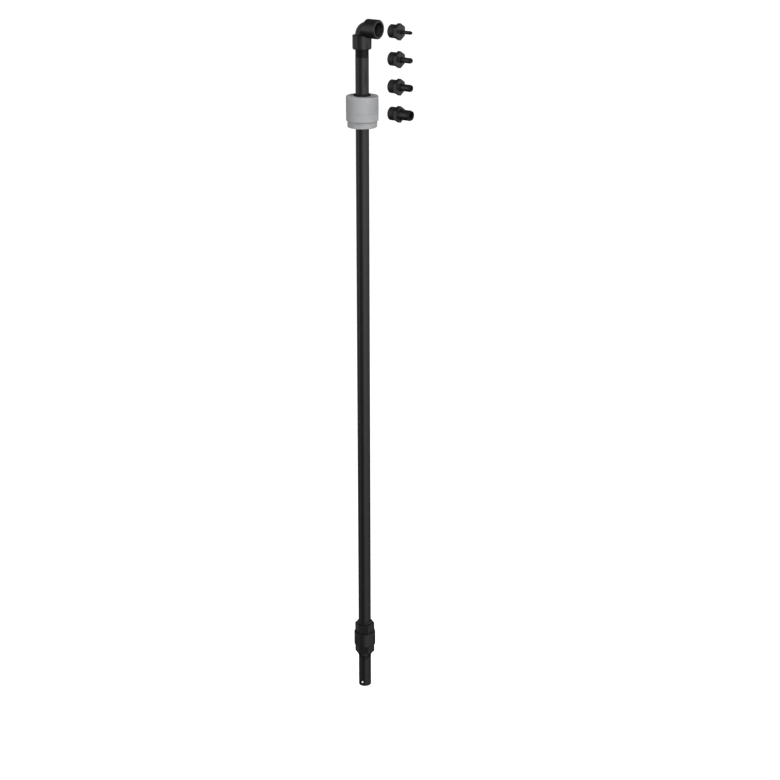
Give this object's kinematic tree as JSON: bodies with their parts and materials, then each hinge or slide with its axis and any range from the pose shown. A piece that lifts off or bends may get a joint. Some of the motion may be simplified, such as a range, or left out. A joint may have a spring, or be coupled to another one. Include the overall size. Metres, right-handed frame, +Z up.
{
  "type": "drum suction lance",
  "caption": "Drum suction lance: plastic dip pipe with threaded elbow, screw-in bung with rubber grommet, foot valve and tail pipe, with loose hose tails.",
  "frame": {"origin": "on the bung's axis, at the upper end of its thread, 1 mm under the shoulder that rests on the drum", "axes": "+Z up along the pipe, +X out of the elbow's outlet"},
  "size_m": [0.151, 0.0646, 1.4475],
  "materials": {
    "black_plastic": "satin moulded",
    "black_pipe": "satin extruded",
    "grey_plastic": "fine matt moulded",
    "black_rubber": "matt",
    "natural_plastic": "satin moulded",
    "spring_steel": "drawn wire"
  },
  "bodies": {
    "bung": {"bung_body": "grey_plastic", "bung_cap": "grey_plastic", "bung_gasket": "black_rubber", "gland_washer": "natural_plastic", "pipe_grommet": "black_rubber"},
    "guide": {"guide_bush": "natural_plastic"},
    "lance": {"elbow": "black_plastic", "elbow_inlet_washer": "black_rubber", "elbow_outlet_washer": "black_rubber", "suction_tube": "black_pipe", "valve_top": "black_plastic", "valve_o_ring": "black_rubber", "valve_body": "black_plastic", "poppet_guide": "natural_plastic", "poppet_spring": "spring_steel", "tail_pipe": "black_pipe"},
    "poppet": {"poppet": "natural_plastic", "poppet_seal": "black_rubber"},
    "tail_06": {"hose_tail_06": "black_plastic"},
    "tail_10": {"hose_tail_10": "black_plastic"},
    "tail_13": {"hose_tail_13": "black_plastic"},
    "tail_19": {"hose_tail_19": "black_plastic"}
  },
  "joints": [
    {"name": "lance_turn", "type": "hinge", "parent": "bung", "child": "guide", "pos_m": [0, 0, 0], "axis": [0, 0, 1], "continuous": true},
    {"name": "lance_slide", "type": "slide", "parent": "guide", "child": "lance", "axis": [0, 0, 1], "range_m": [-0.072, 1.0795]},
    {"name": "poppet_lift", "type": "slide", "parent": "lance", "child": "poppet", "axis": [0, 0, 1], "range_m": [0, 0.0045], "stiffness_N_per_m": 60, "springref_m": -0.008, "deforming": ["poppet_spring"]},
    {"name": "tail_06_fit", "type": "slide", "parent": "lance", "child": "tail_06", "axis": [1, 0, 0], "range_m": [-0.0432, 0.06]},
    {"name": "tail_10_lift", "type": "slide", "parent": "lance", "child": "tail_10", "axis": [1, 0, 0], "range_m": [0, 0.06]},
    {"name": "tail_13_lift", "type": "slide", "parent": "lance", "child": "tail_13", "axis": [1, 0, 0], "range_m": [0, 0.06]},
    {"name": "tail_19_lift", "type": "slide", "parent": "lance", "child": "tail_19", "axis": [1, 0, 0], "range_m": [0, 0.06]}
  ]
}
